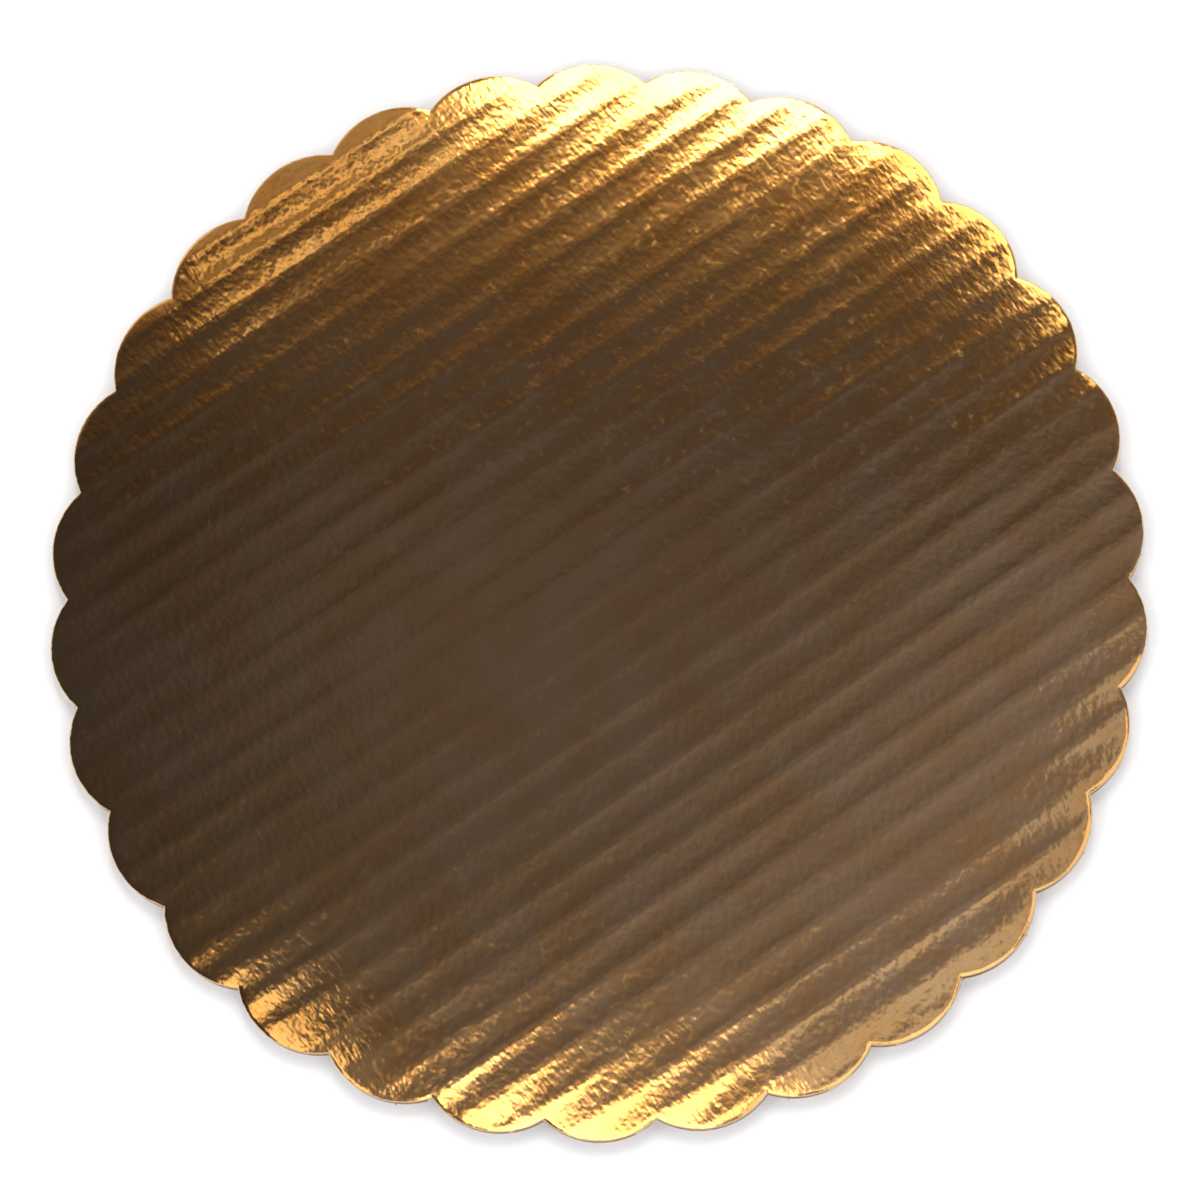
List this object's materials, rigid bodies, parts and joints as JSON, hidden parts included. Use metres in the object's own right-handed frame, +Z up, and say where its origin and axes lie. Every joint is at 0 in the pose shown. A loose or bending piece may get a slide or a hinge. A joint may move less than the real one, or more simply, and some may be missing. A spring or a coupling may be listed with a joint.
{
  "type": "scalloped cake board",
  "caption": "Round cake board of single-wall corrugated paperboard with a scalloped edge and a gold foil face, to carry and present a cake.",
  "frame": {"origin": "centre of the underside, on the surface that the board rests on", "axes": "+Z up through the gold face; +X passes through a notch of the scalloped edge; the flutes run 33.5 degrees counterclockwise from +X"},
  "size_m": [0.2528, 0.254, 0.0041],
  "materials": {
    "gold_foil": "gold-lacquered aluminium foil, bright, finely crinkled over the paper",
    "laminating_adhesive": "dried water-based laminating adhesive",
    "kraft_liner": "uncoated brown kraft liner with visible fibres",
    "medium_paper": "uncoated recycled fluting paper",
    "starch": "dried starch adhesive"
  },
  "bodies": {
    "root": {"bottom_liner": "kraft_liner", "lower_glue_lines": "starch", "fluted_medium": "medium_paper", "upper_glue_lines": "starch", "top_liner": "kraft_liner", "foil_adhesive": "laminating_adhesive", "gold_foil": "gold_foil"}
  },
  "joints": []
}
